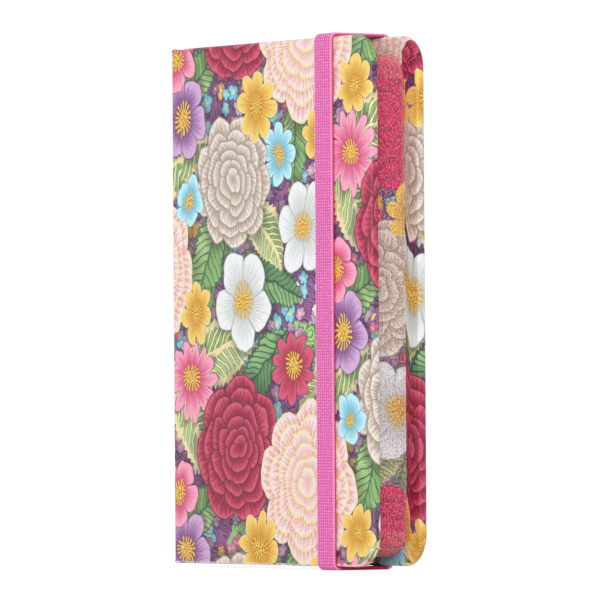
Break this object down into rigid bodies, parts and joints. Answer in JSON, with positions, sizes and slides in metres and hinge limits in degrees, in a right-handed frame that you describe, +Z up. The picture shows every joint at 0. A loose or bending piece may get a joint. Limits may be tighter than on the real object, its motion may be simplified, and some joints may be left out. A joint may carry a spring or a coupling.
{
  "type": "notebook",
  "caption": "Hard-covered pocket grid notebook with a floral printed wrap, round corners, edge-printed sewn pages and an elastic closure band.",
  "frame": {"origin": "under the middle of the closed book's footprint, at the lowest face of the closure band, as it stands upright", "axes": "+Z up along the spine, -Y out of the front cover, +X from the spine to the fore-edge"},
  "size_m": [0.095, 0.0194, 0.142],
  "materials": {
    "printed_cover_paper": "satin laminated floral print with gold foil",
    "greyboard": "dense grey bookbinding board",
    "endpaper": "uncoated laid endpaper",
    "grid_paper": "uncoated cream paper with a 5 mm grid, its cut edges printed",
    "lining_paper": "brown kraft spine lining",
    "mull_cloth": "open starched cotton gauze",
    "end_band_cloth": "woven cotton end band",
    "linen_thread": "waxed linen thread",
    "elastic_webbing": "ribbed woven elastic"
  },
  "bodies": {
    "book_block": {"spine_board": "greyboard", "spine_wrap": "printed_cover_paper", "spine_liner": "lining_paper", "spine_mull": "mull_cloth", "headband": "end_band_cloth", "tailband": "end_band_cloth", "section_01": "grid_paper", "section_02": "grid_paper", "section_03": "grid_paper", "section_04": "grid_paper", "section_05": "grid_paper", "section_06": "grid_paper", "section_07": "grid_paper", "section_08": "grid_paper", "section_09": "grid_paper", "section_10": "grid_paper", "section_11": "grid_paper", "section_12": "grid_paper", "sewing_thread_1": "linen_thread", "sewing_thread_2": "linen_thread", "sewing_thread_3": "linen_thread", "sewing_thread_4": "linen_thread", "sewing_thread_5": "linen_thread"},
    "front_cover": {"front_board": "greyboard", "front_cover_wrap": "printed_cover_paper", "front_pastedown": "endpaper"},
    "back_cover": {"back_board": "greyboard", "back_cover_wrap": "printed_cover_paper", "back_pastedown": "endpaper", "elastic_top_tail": "elastic_webbing", "elastic_bottom_tail": "elastic_webbing"},
    "closure_band": {"elastic_front_run": "elastic_webbing", "elastic_top_return": "elastic_webbing", "elastic_bottom_return": "elastic_webbing"},
    "front_flyleaf": {"front_flyleaf": "endpaper"},
    "back_flyleaf": {"back_flyleaf": "endpaper"},
    "front_leaf_1": {"front_leaf_1": "grid_paper"},
    "front_leaf_2": {"front_leaf_2": "grid_paper"},
    "front_leaf_3": {"front_leaf_3": "grid_paper"},
    "front_leaf_4": {"front_leaf_4": "grid_paper"},
    "back_leaf_1": {"back_leaf_1": "grid_paper"},
    "back_leaf_2": {"back_leaf_2": "grid_paper"},
    "back_leaf_3": {"back_leaf_3": "grid_paper"}
  },
  "joints": [
    {"name": "front_cover_open", "type": "hinge", "parent": "book_block", "child": "front_cover", "pos_m": [-0.0475, -0.00865, 0.071], "axis": [0, 0, -1], "range_deg": [0, 178], "deforming": ["elastic_front_run"]},
    {"name": "back_cover_open", "type": "hinge", "parent": "book_block", "child": "back_cover", "pos_m": [-0.0475, 0.00865, 0.071], "axis": [0, 0, 1], "range_deg": [0, 178], "deforming": ["elastic_front_run"]},
    {"name": "band_pull_off", "type": "slide", "parent": "back_cover", "child": "closure_band", "axis": [1, 0, 0], "range_m": [0, 0.026]},
    {"name": "front_flyleaf_turn", "type": "hinge", "parent": "book_block", "child": "front_flyleaf", "pos_m": [-0.0442, -0.00591, 0.07], "axis": [0, 0, -1], "range_deg": [0, 115.7]},
    {"name": "front_leaf_1_turn", "type": "hinge", "parent": "book_block", "child": "front_leaf_1", "pos_m": [-0.04395, -0.0057, 0.07], "axis": [0, 0, -1], "range_deg": [0, 97.9]},
    {"name": "front_leaf_2_turn", "type": "hinge", "parent": "book_block", "child": "front_leaf_2", "pos_m": [-0.0437, -0.00552, 0.07], "axis": [0, 0, -1], "range_deg": [0, 80.1]},
    {"name": "front_leaf_3_turn", "type": "hinge", "parent": "book_block", "child": "front_leaf_3", "pos_m": [-0.04345, -0.00534, 0.07], "axis": [0, 0, -1], "range_deg": [0, 58.74]},
    {"name": "front_leaf_4_turn", "type": "hinge", "parent": "book_block", "child": "front_leaf_4", "pos_m": [-0.0432, -0.00516, 0.07], "axis": [0, 0, -1], "range_deg": [0, 33.82]},
    {"name": "back_leaf_1_turn", "type": "hinge", "parent": "book_block", "child": "back_leaf_1", "pos_m": [-0.04345, 0.00534, 0.07], "axis": [0, 0, 1], "range_deg": [0, 35.6]},
    {"name": "back_leaf_2_turn", "type": "hinge", "parent": "book_block", "child": "back_leaf_2", "pos_m": [-0.0437, 0.00552, 0.07], "axis": [0, 0, 1], "range_deg": [0, 64.08]},
    {"name": "back_leaf_3_turn", "type": "hinge", "parent": "book_block", "child": "back_leaf_3", "pos_m": [-0.04395, 0.0057, 0.07], "axis": [0, 0, 1], "range_deg": [0, 92.56]},
    {"name": "back_flyleaf_turn", "type": "hinge", "parent": "book_block", "child": "back_flyleaf", "pos_m": [-0.0442, 0.00591, 0.07], "axis": [0, 0, 1], "range_deg": [0, 115.7]}
  ],
  "couplings": [
    {"joint": "front_flyleaf_turn", "follows": "front_cover_open", "ratio": 0.65},
    {"joint": "front_leaf_1_turn", "follows": "front_cover_open", "ratio": 0.55},
    {"joint": "front_leaf_2_turn", "follows": "front_cover_open", "ratio": 0.45},
    {"joint": "front_leaf_3_turn", "follows": "front_cover_open", "ratio": 0.33},
    {"joint": "front_leaf_4_turn", "follows": "front_cover_open", "ratio": 0.19},
    {"joint": "back_leaf_1_turn", "follows": "back_cover_open", "ratio": 0.2},
    {"joint": "back_leaf_2_turn", "follows": "back_cover_open", "ratio": 0.36},
    {"joint": "back_leaf_3_turn", "follows": "back_cover_open", "ratio": 0.52},
    {"joint": "back_flyleaf_turn", "follows": "back_cover_open", "ratio": 0.65}
  ]
}
